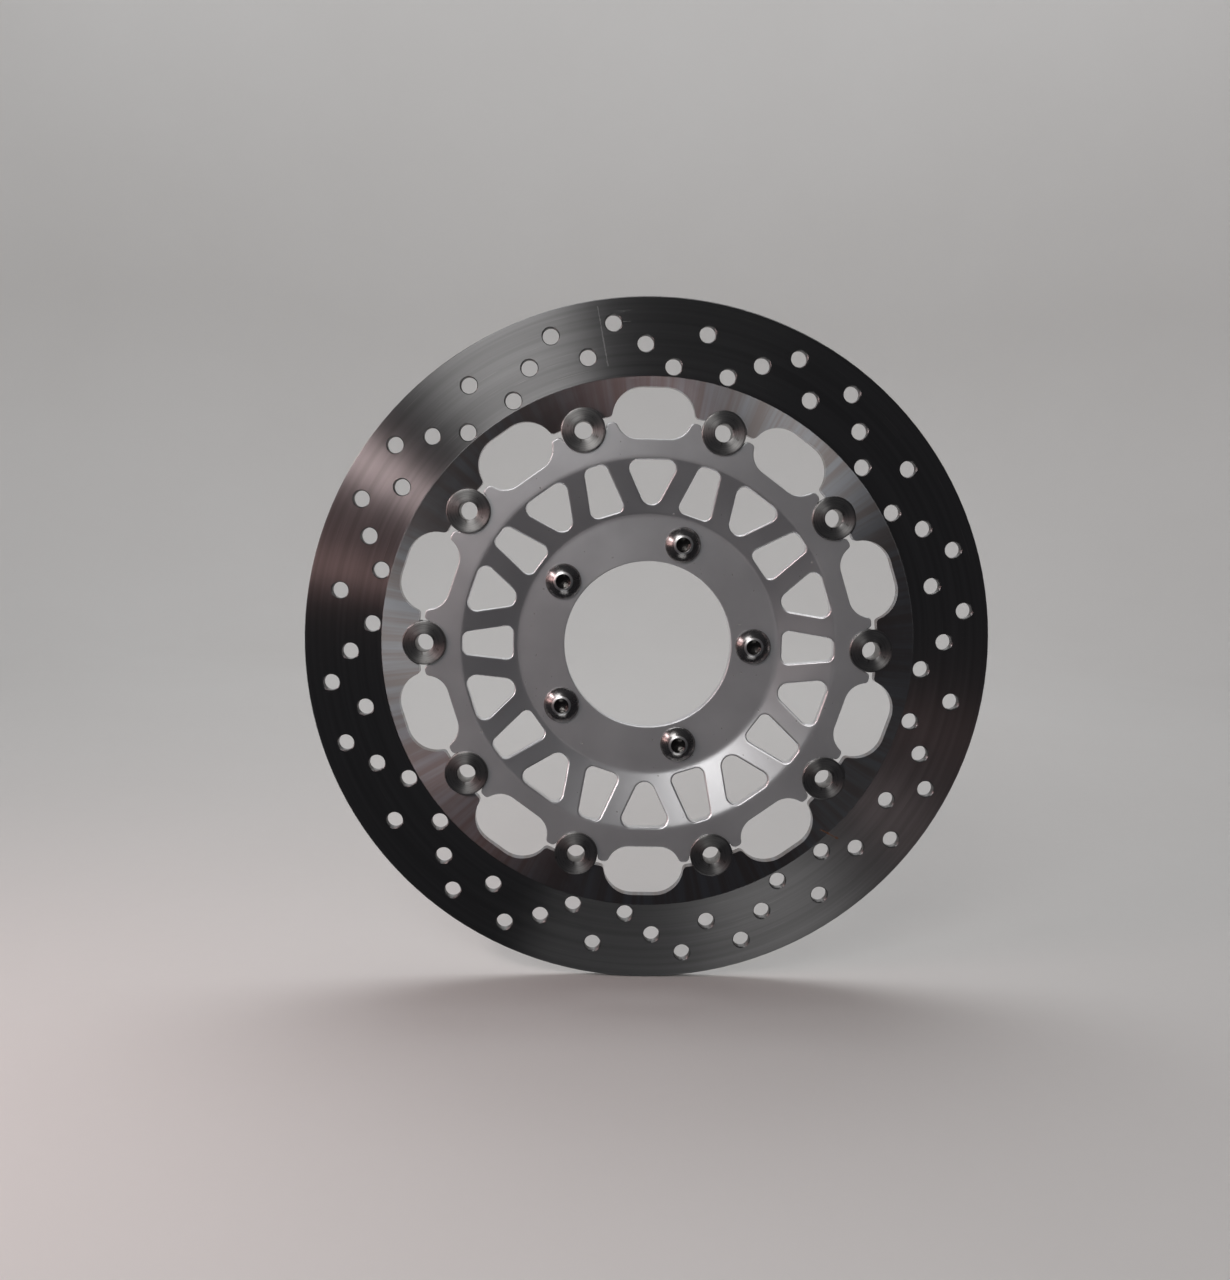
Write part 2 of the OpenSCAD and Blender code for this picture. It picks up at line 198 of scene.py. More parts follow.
def disc_steel():
    """Stainless steel: circular ground pad track, and a radially ground zone inside it."""
    made, t = material("disc_steel")
    whole, radius, cos, sin, depth = place(t)
    track = t.span(radius, TRACK_R - 0.0002, TRACK_R + 0.0002)

    # the track's fine rings and broad bands, and the inner zone's fine lines and broad streaks
    grain = t.noise(polar(t, radius, cos, sin, 5200.0, 1.6), 1.0, 3.0, 0.6)
    broad = t.noise(polar(t, radius, cos, sin, 420.0, 0.9), 1.0, 3.0)
    radial = t.noise(polar(t, radius, cos, sin, 70.0, 330.0), 1.0, 3.0, 0.6)
    streaks = t.noise(polar(t, radius, cos, sin, 9.0, 26.0), 1.0, 3.0, 0.6)
    blotch = t.noise(whole, 16.0, 4.0, 0.6)
    scratch = t.span(t.noise(polar(t, radius, cos, sin, 2600.0, 5.0), 1.0, 1.0), 0.72, 0.77)

    swept = t.mix(t.span(broad, 0.3, 0.7), rgb(0.235, 0.232, 0.232), rgb(0.29, 0.287, 0.287))
    swept = t.mix(t.times(scratch, 0.45), swept, rgb(0.46, 0.45, 0.44))
    unswept = t.mix(t.span(streaks, 0.35, 0.65), rgb(0.35, 0.315, 0.305), rgb(0.42, 0.43, 0.455))
    unswept = t.mix(t.span(blotch, 0.48, 0.7), unswept, rgb(0.30, 0.26, 0.255))
    colour = t.mix(track, unswept, swept)
    front = t.span(depth, FRONT_Y - 0.0005, FRONT_Y, 1.0, 0.0)
    white_mark = t.times(near_line(t, whole, *WHITE_MARK), front)
    rust = t.times(near_line(t, whole, *RUST_MARK), front)
    colour = t.mix(t.times(white_mark, 0.6), colour, rgb(0.75, 0.74, 0.73))
    colour = t.mix(rust, colour, rgb(0.16, 0.07, 0.035))

    rough = t.plus(t.span(grain, 0.2, 0.8, 0.33, 0.40), t.times(blotch, 0.03))
    rough_in = t.plus(t.span(radial, 0.2, 0.8, 0.30, 0.40), t.times(blotch, 0.08))
    rough = t.node("ShaderNodeMix", {0: track, 2: rough_in, 3: rough}).outputs[0]

    height = t.plus(t.times(track, t.plus(grain, t.times(scratch, -0.8))),
                    t.times(t.minus(1.0, track), radial))
    shader = t.node("ShaderNodeBsdfPrincipled", {
        "Base Color": colour,
        "Metallic": t.span(rust, 0.0, 1.0, 1.0, 0.2),
        "Roughness": rough,
        "Anisotropic": t.span(track, 0.0, 1.0, 0.93, 1.0),
        "Anisotropic Rotation": t.times(track, 0.25),
        "Tangent": radial_tangent(t),
        "Normal": t.bump(height, 0.000012, 0.6),
    })
    t.surface(shader.outputs[0])
    return made


TRUSS_BEGINS = (0.0612, 0.0622)  # the finish changes between these two radii
TRUSS_ENDS = (0.0868, 0.0882)


def carrier_alloy():
    """Satin machined and etched aluminium with small pits and a painted highlight along its
    rounded edges.
    """
    made, t = material("carrier_alloy")
    whole, radius, cos, sin, _ = place(t)
    fine = t.noise(whole, 2600.0, 2.0, 0.6)
    cloud = t.noise(whole, 22.0, 4.0, 0.6)
    brushed = t.noise(polar(t, radius, cos, sin, 2400.0, 5.0), 1.0, 2.0)
    pits = t.span(t.noise(whole, 420.0, 1.0), 0.76, 0.79)
    # the mask of the rounded edges, which carry a painted highlight
    rub_and_sheen = t.node("ShaderNodeAttribute", attribute_name="edge").outputs["Fac"]
    edge = t.times(rub_and_sheen, t.span(t.noise(whole, 170.0), 0.3, 0.6, 0.4, 1.0))
    # the truss between flange and band is shinier than the etched faces beside it
    truss = t.times(t.span(radius, *TRUSS_BEGINS), t.span(radius, *TRUSS_ENDS, 1.0, 0.0))
    colour = t.mix(t.span(cloud, 0.3, 0.7), rgb(0.76, 0.77, 0.785), rgb(0.83, 0.84, 0.855))
    colour = t.mix(t.times(truss, 0.6), colour, rgb(0.90, 0.90, 0.91))
    # painted highlight: a lighter colour in patches along the rounded edges
    colour = t.mix(t.times(edge, 0.3), colour, rgb(0.92, 0.92, 0.93))
    colour = t.mix(t.times(pits, 0.6), colour, rgb(0.20, 0.19, 0.18))
    rough = t.plus(t.span(cloud, 0.3, 0.7, 0.31, 0.38), t.times(truss, 0.01))
    height = t.plus(t.times(fine, 0.5), t.plus(t.times(brushed, 0.35), t.times(pits, -1.5)))
    shader = t.node("ShaderNodeBsdfPrincipled", {
        "Base Color": colour,
        "Metallic": t.times(t.minus(1.0, t.times(pits, 0.6)), t.span(truss, 0.0, 1.0, 0.79, 0.94)),
        "Roughness": rough,
        "Anisotropic": 0.2,
        "Anisotropic Rotation": 0.25,
        "Tangent": radial_tangent(t),
        "Normal": t.bump(height, 0.00003, 0.5),
    })
    t.surface(shader.outputs[0])
    return made


def turned_steel(name, dark, light, low, high, rings):
    """Turned or stamped steel with rings about the piece's own axis; low and high: roughness."""
    made, t = material(name)
    grooves = t.noise(polar(t, *own_place(t), rings, 0.8), 1.0, 2.0)
    spots = t.noise(t.node("ShaderNodeTexCoord").outputs["Object"], 380.0, 3.0, 0.65)
    colour = t.mix(t.span(grooves, 0.3, 0.7), dark, light)
    colour = t.mix(t.span(spots, 0.56, 0.74, 0.0, 0.6), colour, rgb(0.10, 0.085, 0.075))
    shader = t.node("ShaderNodeBsdfPrincipled", {
        "Base Color": colour,
        "Metallic": 1.0,
        "Roughness": t.plus(t.span(grooves, 0.2, 0.8, low, high), t.times(spots, 0.06)),
        "Anisotropic": 0.82,
        "Anisotropic Rotation": 0.25,
        "Tangent": radial_tangent(t),
        "Normal": t.bump(grooves, 0.00003, 0.6),
    })
    t.surface(shader.outputs[0])
    return made


def spring_steel():
    """Dark oiled spring steel with rubbed high spots."""
    made, t = material("spring_steel")
    whole = t.node("ShaderNodeTexCoord").outputs["Object"]
    fine = t.noise(whole, 900.0, 3.0, 0.6)
    rub_and_sheen = t.span(t.noise(whole, 260.0, 3.0), 0.5, 0.68)
    shader = t.node("ShaderNodeBsdfPrincipled", {
        "Base Color": t.mix(rub_and_sheen, rgb(0.085, 0.08, 0.08), rgb(0.30, 0.29, 0.28)),
        "Metallic": 0.9,
        "Roughness": t.span(fine, 0.2, 0.8, 0.32, 0.52),
        "Normal": t.bump(fine, 0.00003, 0.4),
    })
    t.surface(shader.outputs[0])
    return made


def bolt_plating():
    """Dark plating with dull patches, a painted highlight on the lip round the socket and painted
    shade in the socket.
    """
    made, t = material("bolt_plating")
    whole = t.node("ShaderNodeTexCoord").outputs["Object"]
    radius = own_place(t)[0]
    lip = t.times(t.span(radius, 0.205, 0.215), t.span(radius, 0.262, 0.285, 1.0, 0.0))
    fine = t.noise(whole, 1500.0, 2.0, 0.6)
    dull = t.span(t.noise(whole, 300.0, 3.0, 0.6), 0.5, 0.75)
    colour = t.mix(dull, rgb(0.31, 0.30, 0.295), rgb(0.20, 0.19, 0.185))
    # painted shade: the socket's recess is coloured dark
    colour = t.mix(t.span(radius, 0.195, 0.21), rgb(0.10, 0.095, 0.09), colour)
    # painted highlight: a light colour on the lip round the socket, standing in for its crescent
    # of reflected light
    colour = t.mix(lip, colour, rgb(0.88, 0.87, 0.86))
    rougher = t.plus(t.times(dull, 0.10), t.times(lip, 0.08))
    shader = t.node("ShaderNodeBsdfPrincipled", {
        "Base Color": colour,
        "Metallic": 1.0,
        "Roughness": t.plus(t.span(fine, 0.3, 0.8, 0.20, 0.28), rougher),
        "Normal": t.bump(fine, 0.00001, 0.2),
    })
    t.surface(shader.outputs[0])
    return made


def pale_stage():
    """A matt pale surface with a little cloud and grain."""
    made, t = material("pale_stage")
    whole = t.node("ShaderNodeTexCoord").outputs["Object"]
    cloud = t.noise(whole, 2.5, 4.0, 0.55)
    fine = t.noise(whole, 160.0, 2.0)
    shader = t.node("ShaderNodeBsdfPrincipled", {
        "Base Color": t.mix(cloud, rgb(0.72, 0.70, 0.68), rgb(0.77, 0.755, 0.74)),
        "Roughness": t.span(fine, 0.2, 0.8, 0.75, 0.9),
        "Normal": t.bump(fine, 0.0002, 0.15),
    })
    t.surface(shader.outputs[0])
    return made


# ---------------------------------------------------------------- pieces


def link(obj):
    bpy.context.scene.collection.objects.link(obj)
    return obj


def mesh_object(name, verts, faces, mat):
    """A smooth-shaded object in the scene."""
    mesh = bpy.data.meshes.new(name)
    mesh.from_pydata(verts, [], faces)
    mesh.polygons.foreach_set("use_smooth", [True] * len(mesh.polygons))
    mesh.materials.append(mat)
    mesh.update()
    return link(bpy.data.objects.new(name, mesh))


def rings_to_mesh(rings):
    """Vertices and quads for a list of closed rings with equal counts; ends are closed."""
    count = len(rings[0])
    verts = [p for ring in rings for p in ring]
    faces = []
    for i in range(len(rings) - 1):
        for k in range(count):
            n = (k + 1) % count
            here, there = i * count, (i + 1) * count
            faces.append((here + k, here + n, there + n, there + k))
    for first, ring, flip in ((0, rings[0], True), ((len(rings) - 1) * count, rings[-1], False)):
        middle = len(verts)
        verts.append(tuple(sum(p[a] for p in ring) / count for a in range(3)))
        for k in range(count):
            a, b = first + k, first + (k + 1) % count
            faces.append((b, a, middle) if flip else (a, b, middle))
    return verts, faces


# ---- the carrier: outlines in its plane, in mm, with a button along +x, as in the CAD

HUB_BORE_R = 39.5
BOLT_CIRCLE_R = 50.0
BOLT_HOLE_R = 4.35
FLANGE_FRONT_R, FLANGE_BACK_R = 61.5, 59.5
BAND_FRONT_R, BAND_BACK_R = 87.5, 86.0
FLANGE_FRONT, FLANGE_BACK = -6.0, 0.0
BAND_FRONT, BAND_BACK = -14.15, -8.85
BEND_R = 8.0  # of the bends between flange, truss and band
CARRIER_R = 105.0
CORNER_R = 2.1
BUTTON_CIRCLE_R = 104.4
SEAT_R = 7.06
HORN_GAP = 10.3
SCALLOP_R, SCALLOP_FLAT, SCALLOP_INNER = 10.3, 7.3, 96.0
SEATS = 10
SEAT_PITCH = 36
# corners and the radius at each corner
WIDE_WINDOW = ([(86.6, -13.13), (86.6, 13.13), (59.8, 0.0)], [4.0, 4.0, 5.0])
NARROW_WINDOW = ([(86.9, -5.05), (86.9, 5.05), (63.8, 8.25), (63.8, -8.25)], [3.2] * 4)
BOLTS = 5
# how far each kind of edge is rounded over
OUTER_ROUND, WINDOW_ROUND, BOLT_HOLE_ROUND, BORE_ROUND = 0.45, 0.75, 0.2, 0.5
SUPPORT = 0.35  # a loop of points this far inside each rounded edge keeps the face beside it flat
FILLING_GAP, RIM_GAP = 2.0, 0.7  # between the faces' other points, and from them to those loops


def arc(centre, radius, start, end, step=0.5):
    """Points on an arc, its angles in degrees, both ends included."""
    count = max(2, int(abs(math.radians(end - start)) * radius / step) + 2)
    turn = np.radians(np.linspace(start, end, count))
    return [(centre[0] + radius * math.cos(a), centre[1] + radius * math.sin(a)) for a in turn]


def direction(v):
    """The angle of a vector, in degrees."""
    return math.degrees(math.atan2(v[1], v[0]))


def unit(v):
    return v / np.linalg.norm(v)


def rounded(corners, radii):
    """The outline of a convex polygon, anticlockwise, with each corner rounded."""
    out = []
    count = len(corners)
    for i, radius in enumerate(radii):
        b = np.array(corners[i])
        to_a = unit(np.array(corners[i - 1]) - b)
        to_c = unit(np.array(corners[(i + 1) % count]) - b)
        half = math.acos(to_a @ to_c) / 2
        centre = b + unit(to_a + to_c) * radius / math.sin(half)
        first = direction(b + to_a * radius / math.tan(half) - centre)
        last = direction(b + to_c * radius / math.tan(half) - centre)
        out += arc(centre, radius, first, last if last > first else last + 360)
    return out


def turned(points, degrees):
    """The points turned anticlockwise about the origin."""
    c, s = math.cos(math.radians(degrees)), math.sin(math.radians(degrees))
    return [(x * c - y * s, x * s + y * c) for x, y in points]


def split_long(points, longest=1.6):
    """A closed outline whose long steps are cut into shorter ones."""
    out = []
    for i, here in enumerate(points):
        there = points[(i + 1) % len(points)]
        gap = math.dist(here, there)
        if gap < 1e-4:  # the same point twice
            continue
        parts = max(1, math.ceil(gap / longest))
        here, there = np.array(here), np.array(there)
        out += [here + (there - here) * k / parts for k in range(parts)]
    return np.array(out)


def carrier_edge():
    """The carrier's outer edge, anticlockwise, from the middle of a seat to the next scallop."""
    inner = CARRIER_R - CORNER_R
    side = HORN_GAP + CORNER_R
    shelf = math.sqrt(inner ** 2 - side ** 2)
    seat_end = math.degrees(math.acos((shelf - BUTTON_CIRCLE_R) / SEAT_R))
    half = arc((BUTTON_CIRCLE_R, 0.0), SEAT_R, 180, seat_end, 1.6)
    half += arc((shelf, side), CORNER_R, -90, direction((shelf, side)))
    c = np.array((SCALLOP_INNER + SCALLOP_R, SCALLOP_FLAT))
    reach, far = SCALLOP_R + CORNER_R, np.linalg.norm(c)
    along = (inner ** 2 - reach ** 2 + far ** 2) / (2 * far)
    u = c / far
    p = along * u + math.sqrt(inner ** 2 - along ** 2) * np.array((-u[1], u[0]))
    # with the scallop along +x: from its middle line to the horn's outside
    scallop = [(SCALLOP_INNER, 0.0)]
    scallop += arc(c, SCALLOP_R, 180, direction(p - c))
    scallop += arc(p, CORNER_R, direction(c - p), direction(p))
    flipped = turned([(x, -y) for x, y in reversed(scallop)], SEAT_PITCH / 2)
    horn = arc((0.0, 0.0), CARRIER_R, direction((shelf, side)), direction(flipped[0]), 1.2)
    return half + horn[1:-1] + flipped


def carrier_outlines():
    """Each outline as (points, True for the outer edge, rounding of its front and back edges)."""
    half = carrier_edge()
    pitch_part = [(x, -y) for x, y in reversed(half)] + half[1:]
    edge = [p for k in range(SEATS) for p in turned(pitch_part, SEAT_PITCH * k)[:-1]]
    out = [(split_long(edge), True, OUTER_ROUND)]
    wide, narrow = rounded(*WIDE_WINDOW), rounded(*NARROW_WINDOW)
    for k in range(SEATS):
        for window, turn in ((wide, SEAT_PITCH * (k + 0.5)), (narrow, SEAT_PITCH * k)):
            out.append((split_long(turned(window, turn)), False, WINDOW_ROUND))
    hole = arc((BOLT_CIRCLE_R, 0.0), BOLT_HOLE_R, 0, 360)[:-1]
    for k in range(BOLTS):
        out.append((split_long(turned(hole, 360 / BOLTS * k)), False, BOLT_HOLE_ROUND))
    bore = arc((0.0, 0.0), HUB_BORE_R, 0, 360, 1.2)[:-1]
    out.append((split_long(bore), False, BORE_ROUND))
    return out


def bent(points, radius):
    """A profile (r, y) whose inner corners are replaced by arcs, as two arrays for interp."""
    out = [points[0]]
    for a, b, c in zip(points, points[1:], points[2:]):
        a, b, c = np.array(a), np.array(b), np.array(c)
        to_a, to_c = unit(a - b), unit(c - b)
        half = math.acos(to_a @ to_c) / 2
        middle = b + unit(to_a + to_c) * radius / math.sin(half)
        first = direction(b + to_a * radius / math.tan(half) - middle)
        last = direction(b + to_c * radius / math.tan(half) - middle)
        last += 360 * round((first - last) / 360)  # the short way round
        out += arc(middle, radius, first, last, 0.2)
    out.append(points[-1])
    return np.array(out)[:, 0], np.array(out)[:, 1]


def shifted(loop, by, outer):
    """The outline moved by a distance into the metal."""
    step = np.roll(loop, -1, 0) - loop
    step /= np.linalg.norm(step, axis=1)[:, None]
    right = np.stack([step[:, 1], -step[:, 0]], 1)
    both = right + np.roll(right, 1, 0)
    both /= np.linalg.norm(both, axis=1)[:, None]
    reach = 1 / np.maximum((both * right).sum(1), 0.55)  # no long spikes at sharp corners
    return loop + both * (reach * by * (-1 if outer else 1))[:, None]


def inside(points, loops):
    """Which points lie in the metal: inside an odd number of the outlines."""
    odd = np.zeros(len(points), bool)
    batch = 4000  # so that the tables stay small
    for loop in loops:
        a, b = loop, np.roll(loop, -1, 0)
        rise = np.where(b[:, 1] == a[:, 1], 1.0, b[:, 1] - a[:, 1])
        slope = (b - a)[:, 0] / rise
        for start in range(0, len(points), batch):
            p = points[start:start + batch]
            crosses = (a[None, :, 1] > p[:, None, 1]) != (b[None, :, 1] > p[:, None, 1])
            at = a[None, :, 0] + (p[:, None, 1] - a[None, :, 1]) * slope[None]
            odd[start:start + batch] ^= (crosses & (p[:, None, 0] < at)).sum(1) % 2 == 1
    return odd


def spread(radii, gap):
    """Points on circles about the axis, about gap mm apart."""
    out = []
    for k, r in enumerate(radii):
        count = int(2 * math.pi * r / gap)
        turns = (np.arange(count) + k % 2 / 2) * 2 * math.pi / count
        out += [(r * math.cos(a), r * math.sin(a)) for a in turns]
    return np.array(out)


def face_triangles(rims):
    """The carrier's face as points and triangles; the points of the rims come first."""
    # close circles on the two bends, wider ones on the flat and straight parts
    radii = np.concatenate([np.arange(41.5, 59, 2.4), np.arange(59, 64, 0.6),
                            np.arange(65, 85, 2.2), np.arange(85.5, 89.6, 0.6),
                            np.arange(91, 104, 2.2)])
    filling = spread(radii, FILLING_GAP)
    filling = filling[inside(filling, rims)]
    on_rims = np.concatenate(rims)
    clear = [np.linalg.norm(on_rims - p, axis=1).min() > RIM_GAP for p in filling]
    flat = [tuple(p) for p in np.concatenate([on_rims, filling[np.array(clear)]])]
    edges, start = [], 0
    for loop in rims:
        edges += [(start + k, start + (k + 1) % len(loop)) for k in range(len(loop))]
        start += len(loop)
    found = delaunay_2d_cdt([Vector(p) for p in flat], edges, [], 0, 1e-6)
    points, _, triangles, origin = found[:4]
    number_of = [ids[0] for ids in origin]
    middles = np.array([np.mean([points[i] for i in t], axis=0) for t in triangles])
    in_metal = inside(middles, rims)
    return flat, [[number_of[i] for i in t] for t, keep in zip(triangles, in_metal) if keep]


def add_carrier(mat):
    """The carrier with its window, bore and outer edges rounded over and its bends smooth."""
    outlines = carrier_outlines()
    front = bent([(HUB_BORE_R - 1, FLANGE_FRONT), (FLANGE_FRONT_R, FLANGE_FRONT),
                  (BAND_FRONT_R, BAND_FRONT), (CARRIER_R + 1, BAND_FRONT)], BEND_R)
    back = bent([(HUB_BORE_R - 1, FLANGE_BACK), (FLANGE_BACK_R, FLANGE_BACK),
                 (BAND_BACK_R, BAND_BACK), (CARRIER_R + 1, BAND_BACK)], BEND_R)
    rims = [shifted(points, size + SUPPORT, outer) for points, outer, size in outlines]
    flat, triangles = face_triangles(rims)
    verts, edge_share, faces = [], [], []

    def add(flat_points, side, depth, share):
        """Adds points sunk by depth into the front (0) or back (1) face; their first index."""
        first = len(verts)
        for x, y in flat_points:
            r = math.hypot(x, y)
            level = np.interp(r, *front) + depth if side == 0 else np.interp(r, *back) - depth
            verts.append((x * MM, level * MM, -y * MM))
            edge_share.append(share)
        return first

    for side in (0, 1):
        first = add(flat, side, 0.0, 0.0)
        faces += [[first + i for i in t] for t in triangles]
    # each edge, from the front face's rim over both roundings to the back face's rim
    turns = [math.radians(a) for a in (0, 22.5, 45, 67.5, 90)]
    steps = [(a, 0) for a in reversed(turns)] + [(a, 1) for a in turns]
    start = 0
    for loop, outer, size in outlines:
        count = len(loop)
        rings = [start]
        for a, side in steps:
            ring = shifted(loop, size * (1 - math.cos(a)), outer)
            rings.append(add(ring, side, size * (1 - math.sin(a)), 1.0))
        rings.append(len(flat) + start)
        for one, two in zip(rings, rings[1:]):
            for k in range(count):
                n = (k + 1) % count
                faces.append([one + k, one + n, two + n, two + k])
        start += count
    made = mesh_object("carrier_detail", verts, faces, mat)
    made.data.attributes.new("edge", "FLOAT", "POINT").data.foreach_set("value", edge_share)
    sharp_edges(made, 50)
    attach(made, "carrier")
    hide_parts("carrier")


# ---- the wheel bolts, in metres

SOCKET_FLATS = 0.005
SOCKET_RIM = 0.0033
LIP_R = 0.0037
HEAD_R = 0.0084
HEAD_HEIGHT = 0.0046
HEAD_EDGE = 0.0011  # height of the head's straight side
HEAD_ROUND = 0.0003
DOME_STEPS = 12
THREAD_R = 0.004
THREAD_END_R = 0.003
THREAD_PITCH = 0.00125
THREAD_DEPTH = 0.00062
THREAD_START = 0.0064
THREAD_ROWS = 8  # rings of points in each pitch
SHOULDER_R = 0.0042
SHOULDER_END = 0.0054
RELIEF_R = 0.0034
BOLT_LENGTH = 0.026
AROUND = 72
TIGHTENED = 28  # degrees between the sockets of neighbouring bolts

DOME_R = (HEAD_R ** 2 + (HEAD_HEIGHT - HEAD_EDGE) ** 2) / (2 * (HEAD_HEIGHT - HEAD_EDGE))


def circle(radius, y):
    """One ring of a bolt as (radius, y) for each of its points."""
    return [(radius, y)] * AROUND


def hexagon(k):
    """The socket's radius at the ring's point k."""
    turn = 2 * math.pi * k / AROUND
    off = (turn + math.pi / 6) % (math.pi / 3) - math.pi / 6
    return SOCKET_FLATS / 2 / math.cos(off)


def thread_rings():
    """The thread's rings, from the bolt's end up; it fades in at its end and at the relief."""
    rings = []
    y = BOLT_LENGTH - 0.0002
    while y > THREAD_START:
        at_end = min(1.0, (BOLT_LENGTH - y) / 0.0014)
        at_start = min(1.0, (y - THREAD_START) / 0.0012)
        row = []
        for k in range(AROUND):
            phase = (y / THREAD_PITCH - k / AROUND) % 1.0
            wave = abs(phase - 0.5) * 2
            cut = THREAD_DEPTH * min(1.0, max(0.0, (wave - 0.12) / 0.74)) * at_start
            row.append((min(THREAD_R - cut, THREAD_R - 0.0009 * (1 - at_end)), y))
        rings.append(row)
        y -= THREAD_PITCH / THREAD_ROWS
    return rings


def bolt_mesh():
    """A button-head bolt about +Y, underside of its head at y = 0, head towards -Y."""
    rings = [circle(THREAD_END_R, BOLT_LENGTH)] + thread_rings()
    # relief groove and shoulder
    rings.append(circle(THREAD_R - 0.0003, THREAD_START + 0.0001))
    rings.append(circle(RELIEF_R, THREAD_START - 0.0001))
    rings.append(circle(RELIEF_R, SHOULDER_END + 0.0001))
    rings.append(circle(SHOULDER_R - 0.0002, SHOULDER_END))
    rings.append(circle(SHOULDER_R, SHOULDER_END - 0.0002))
    rings.append(circle(SHOULDER_R, 0.0004))
    rings.append(circle(SHOULDER_R, 0.0))
    # underside, edge and dome of the head
    r = HEAD_ROUND
    rings.append(circle(HEAD_R - r, 0.0))
    for a in (30, 60, 90):
        rings.append(circle(HEAD_R - r + r * math.sin(math.radians(a)),
                            -r + r * math.cos(math.radians(a))))
    rings.append(circle(HEAD_R, -HEAD_EDGE + 0.0003))
    edge_angle = math.asin(HEAD_R / DOME_R)
    rim_angle = math.asin(LIP_R / DOME_R)
    for i in range(DOME_STEPS + 1):
        a = edge_angle + (rim_angle - edge_angle) * i / DOME_STEPS
        r = DOME_R * math.sin(a) if i else HEAD_R - 0.00006
        rings.append(circle(r, -(HEAD_HEIGHT - DOME_R + DOME_R * math.cos(a))))
    top = -(HEAD_HEIGHT - DOME_R + DOME_R * math.cos(rim_angle))
    # rounded lip round the socket
    lip = ((0.00012, -0.00002), (0.00026, 0.0), (0.00040, 0.00007), (0.00052, 0.00019))
    for inward, down in lip:
        rings.append(circle(LIP_R - inward, top + down))
    # countersink into the hexagon socket and its cone-shaped floor
    for f, down in ((0.0, 0.00036), (1.0, 0.0006), (1.0, 0.0012), (1.0, 0.0028)):
        mouth = (LIP_R - 0.0006) * (1 - f)
        rings.append([(hexagon(k) * f + mouth, top + down) for k in range(AROUND)])
    rings.append(circle(0.0012, top + 0.0034))
    turns = [2 * math.pi * k / AROUND for k in range(AROUND)]
    points = []
    for ring in rings:
        points.append([(r * math.cos(a), y, -r * math.sin(a)) for a, (r, y) in zip(turns, ring)])
    return rings_to_mesh(points)


def head_top():
    """How far the head's highest point stands above its underside in the CAD."""
    return HEAD_HEIGHT - DOME_R + math.sqrt(DOME_R ** 2 - SOCKET_RIM ** 2)


def add_bolts(mat):
    """A detailed bolt in the place of each CAD bolt."""
    verts, faces = bolt_mesh()
    for name in sorted(kind("wheel_bolt_")):
        low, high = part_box(name)
        centre = (low + high) / 2
        number = int(name.rsplit("_", 1)[1])
        turn = Matrix.Rotation(math.radians(TIGHTENED * number), 4, "Y")
        turned_verts = [tuple(turn @ Vector(v)) for v in verts]
        made = mesh_object("bolt_detail_%d" % number, turned_verts, faces, mat)
        made.matrix_world = Matrix.Translation((centre.x, low.y + head_top(), centre.z))
        sharp_edges(made)
        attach(made, "carrier")
        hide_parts(name)


# ---- the float buttons, in mm: y of the face, of the head's underside and of the barrel's end

BUTTON_TOP, BUTTON_UNDER, BUTTON_END = -15.65, -14.18, -4.77
BUTTON_HEAD_R, BUTTON_RIM_R, BARREL_R, BUTTON_HOLE_R = 10.2, 9.2, 7.0, 4.2
GROOVE_FROM, GROOVE_TO, GROOVE_R = -6.99, -5.95, 6.65
GROOVE_BREAK = 0.1
DISH = 0.3
HEAD_CORNER, UNDER_CORNER, SMALL_CORNER = 0.4, 0.15, 0.3
BUTTON_AROUND = 96


def corner_arc(centre, radius, start, end):
    """Points (r, y) on a rounded corner of a profile, in mm."""
    turn = [math.radians(start + (end - start) * i / 4) for i in range(5)]
    return [(centre[0] + radius * math.cos(a), centre[1] + radius * math.sin(a)) for a in turn]


def button_profile():
    """Half the button's section as (r, y): dished face, barrel with its groove, hole."""
    top, under, end, c = BUTTON_TOP, BUTTON_UNDER, BUTTON_END, SMALL_CORNER
    hole = BUTTON_HOLE_R + c
    out = corner_arc((hole, top + DISH + c), c, 180, 270)
    out += [(6.0, top + DISH * 0.68), (7.6, top + DISH * 0.34)]
    out += [(BUTTON_RIM_R - 0.15, top + 0.01), (BUTTON_RIM_R, top)]
    out += corner_arc((BUTTON_HEAD_R - HEAD_CORNER, top + HEAD_CORNER), HEAD_CORNER, 270, 360)
    out += corner_arc((BUTTON_HEAD_R - UNDER_CORNER, under - UNDER_CORNER), UNDER_CORNER, 0, 90)
    out += [(BARREL_R, under), (BARREL_R, GROOVE_FROM - GROOVE_BREAK)]
    out += [(BARREL_R - GROOVE_BREAK, GROOVE_FROM), (GROOVE_R, GROOVE_FROM)]
    out += [(GROOVE_R, GROOVE_TO), (BARREL_R - GROOVE_BREAK, GROOVE_TO)]
    out += [(BARREL_R, GROOVE_TO + GROOVE_BREAK)]
    out += corner_arc((BARREL_R - c, end - c), c, 0, 90)
    out += corner_arc((hole, end - c), c, 90, 180)
    return out


def button_mesh():
    """A float button about +Y: dished head towards -Y, grooved barrel, hole right through."""
    profile, count = button_profile(), BUTTON_AROUND
    turn = [2 * math.pi * k / count for k in range(count)]
    verts = [(r * math.cos(a) * MM, y * MM, -r * math.sin(a) * MM)
             for r, y in profile for a in turn]
    faces = []
    for i in range(len(profile)):
        one, two = i * count, (i + 1) % len(profile) * count
        for k in range(count):
            n = (k + 1) % count
            faces.append((one + k, one + n, two + n, two + k))
    return verts, faces


